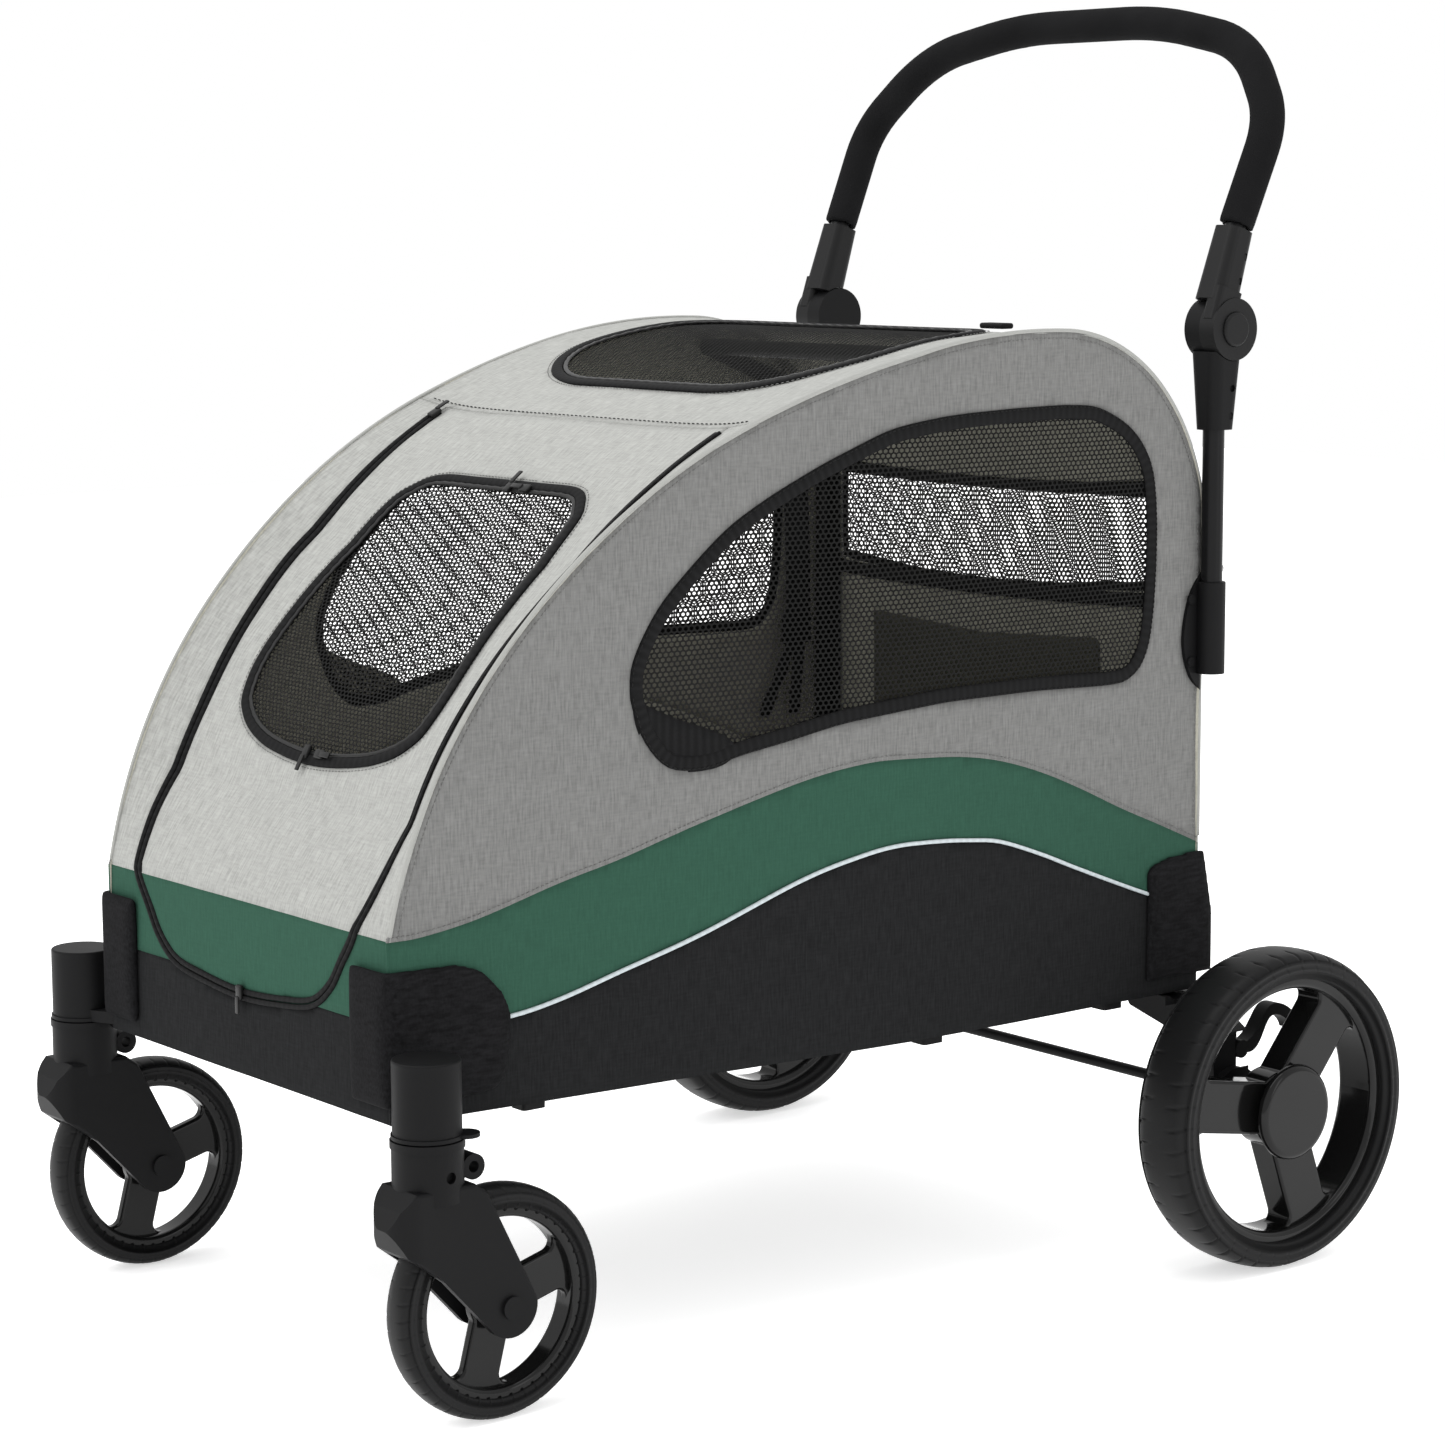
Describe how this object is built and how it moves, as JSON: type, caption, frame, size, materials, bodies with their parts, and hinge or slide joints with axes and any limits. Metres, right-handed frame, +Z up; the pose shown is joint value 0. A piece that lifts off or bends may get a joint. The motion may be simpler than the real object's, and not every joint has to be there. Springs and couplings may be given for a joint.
{
  "type": "pet stroller",
  "caption": "Four-wheeled pet stroller: zip-up cloth cabin with mesh windows on a folding hoop frame, swivel casters, braked rear wheels, folding push handle.",
  "frame": {"origin": "on the floor at the middle of the overall footprint", "axes": "+Z up, front (casters and zip door) towards -Y, push handle at +Y, stroller's left is +X"},
  "size_m": [0.7754, 1.0048, 1.1006],
  "materials": {
    "cabin_cloth": "heather woven polyester, grey over green over charcoal",
    "window_mesh": "open hexagonal mesh",
    "corner_cloth": "padded textured cloth with bound edge",
    "webbing": "woven strap",
    "cushion_cloth": "quilted cloth",
    "black_plastic": "fine-textured moulding",
    "grey_plastic": "satin moulding",
    "gloss_plastic": "polished moulding",
    "tyre_rubber": "smooth rubber with slit notches",
    "foam": "soft foam sleeve",
    "painted_tube": "powder-coated tube",
    "steel": "plated steel"
  },
  "bodies": {
    "chassis": {"base_clips": "black_plastic", "base_rails": "painted_tube", "caster_post_left": "black_plastic", "caster_post_right": "black_plastic", "cross_tubes": "painted_tube", "floor_board": "black_plastic", "floor_cushion": "cushion_cloth", "front_corner_pads": "corner_cloth", "front_pivot_brackets": "steel", "front_surround": "cabin_cloth", "rear_axle": "steel", "rear_corner_pads": "corner_cloth", "rear_leg_left": "black_plastic", "rear_leg_right": "black_plastic", "rear_panel": "cabin_cloth", "rear_pivot_brackets": "steel", "rear_pocket": "webbing", "rear_window": "window_mesh", "roof_buckle": "grey_plastic", "roof_panel": "cabin_cloth", "roof_window": "window_mesh", "side_panel_left": "cabin_cloth", "side_panel_right": "cabin_cloth", "side_window_left": "window_mesh", "side_window_right": "window_mesh", "tether_strap": "webbing"},
    "door": {"door_panel": "cabin_cloth", "door_window": "window_mesh", "zip_sliders": "steel"},
    "front_frame": {"front_hoop": "painted_tube"},
    "rear_frame": {"rear_hoop": "painted_tube", "handle_socket_left": "black_plastic", "handle_socket_right": "black_plastic"},
    "handle_post": {"handle_tube_left": "painted_tube", "handle_tube_right": "painted_tube", "lower_sleeve_left": "grey_plastic", "lower_sleeve_right": "grey_plastic"},
    "push_bar": {"handle_bow": "painted_tube", "handle_foam": "foam", "upper_sleeve_left": "grey_plastic", "upper_sleeve_right": "grey_plastic"},
    "hinge_button_left": {"hinge_button_left": "grey_plastic"},
    "height_button_left": {"height_button_left": "steel"},
    "caster_left": {"caster_fork_left": "black_plastic"},
    "front_wheel_left": {"front_tyre_left": "tyre_rubber", "front_rim_left": "gloss_plastic"},
    "rear_wheel_left": {"rear_tyre_left": "tyre_rubber", "rear_rim_left": "gloss_plastic", "hub_cap_left": "gloss_plastic"},
    "brake_left": {"brake_pedal_left": "black_plastic"},
    "hinge_button_right": {"hinge_button_right": "grey_plastic"},
    "height_button_right": {"height_button_right": "steel"},
    "caster_right": {"caster_fork_right": "black_plastic"},
    "front_wheel_right": {"front_tyre_right": "tyre_rubber", "front_rim_right": "gloss_plastic"},
    "rear_wheel_right": {"rear_tyre_right": "tyre_rubber", "rear_rim_right": "gloss_plastic", "hub_cap_right": "gloss_plastic"},
    "brake_right": {"brake_pedal_right": "black_plastic"}
  },
  "joints": [
    {"name": "rear_frame_fold", "type": "hinge", "parent": "chassis", "child": "rear_frame", "pos_m": [0, 0.352, 0.3], "axis": [1, 0, 0], "range_deg": [0, 58], "deforming": ["front_surround", "rear_panel", "rear_window", "roof_panel", "roof_window", "side_panel_left", "side_panel_right", "side_window_left", "side_window_right", "rear_pocket", "tether_strap", "roof_buckle", "door_panel", "door_window"]},
    {"name": "front_frame_fold", "type": "hinge", "parent": "chassis", "child": "front_frame", "pos_m": [0, -0.436, 0.3], "axis": [1, 0, 0], "range_deg": [-50, 0]},
    {"name": "door_hinge", "type": "hinge", "parent": "chassis", "child": "door", "pos_m": [0, -0.1245, 0.7515], "axis": [1, 0, 0], "range_deg": [-95, 0]},
    {"name": "handle_height", "type": "slide", "parent": "rear_frame", "child": "handle_post", "axis": [0, 0, 1], "range_m": [0, 0.05]},
    {"name": "push_bar_fold", "type": "hinge", "parent": "handle_post", "child": "push_bar", "pos_m": [0, 0.378, 0.813], "axis": [1, 0, 0], "range_deg": [-105, 0]},
    {"name": "hinge_button_left_press", "type": "slide", "parent": "handle_post", "child": "hinge_button_left", "axis": [-1, 0, 0], "range_m": [0, 0.0025], "stiffness_N_per_m": 800},
    {"name": "height_button_left_press", "type": "slide", "parent": "handle_post", "child": "height_button_left", "axis": [0, -1, 0], "range_m": [0, 0.002], "stiffness_N_per_m": 800},
    {"name": "caster_swivel_left", "type": "hinge", "parent": "chassis", "child": "caster_left", "pos_m": [0.2672, -0.46, 0.2], "axis": [0, 0, 1], "continuous": true},
    {"name": "front_wheel_spin_left", "type": "hinge", "parent": "caster_left", "child": "front_wheel_left", "pos_m": [0.2672, -0.402, 0.092], "axis": [1, 0, 0], "continuous": true},
    {"name": "rear_wheel_spin_left", "type": "hinge", "parent": "chassis", "child": "rear_wheel_left", "pos_m": [0.3563, 0.3618, 0.14], "axis": [1, 0, 0], "continuous": true},
    {"name": "brake_left_press", "type": "hinge", "parent": "chassis", "child": "brake_left", "pos_m": [0.3, 0.376, 0.18], "axis": [1, 0, 0], "range_deg": [-14, 0]},
    {"name": "hinge_button_right_press", "type": "slide", "parent": "handle_post", "child": "hinge_button_right", "axis": [1, 0, 0], "range_m": [0, 0.0025], "stiffness_N_per_m": 800},
    {"name": "height_button_right_press", "type": "slide", "parent": "handle_post", "child": "height_button_right", "axis": [0, -1, 0], "range_m": [0, 0.002], "stiffness_N_per_m": 800},
    {"name": "caster_swivel_right", "type": "hinge", "parent": "chassis", "child": "caster_right", "pos_m": [-0.2672, -0.46, 0.2], "axis": [0, 0, 1], "continuous": true},
    {"name": "front_wheel_spin_right", "type": "hinge", "parent": "caster_right", "child": "front_wheel_right", "pos_m": [-0.2672, -0.402, 0.092], "axis": [1, 0, 0], "continuous": true},
    {"name": "rear_wheel_spin_right", "type": "hinge", "parent": "chassis", "child": "rear_wheel_right", "pos_m": [-0.3563, 0.3618, 0.14], "axis": [1, 0, 0], "continuous": true},
    {"name": "brake_right_press", "type": "hinge", "parent": "chassis", "child": "brake_right", "pos_m": [-0.3, 0.376, 0.18], "axis": [1, 0, 0], "range_deg": [-14, 0]}
  ],
  "couplings": [
    {"joint": "front_frame_fold", "follows": "rear_frame_fold", "ratio": -0.86207}
  ]
}
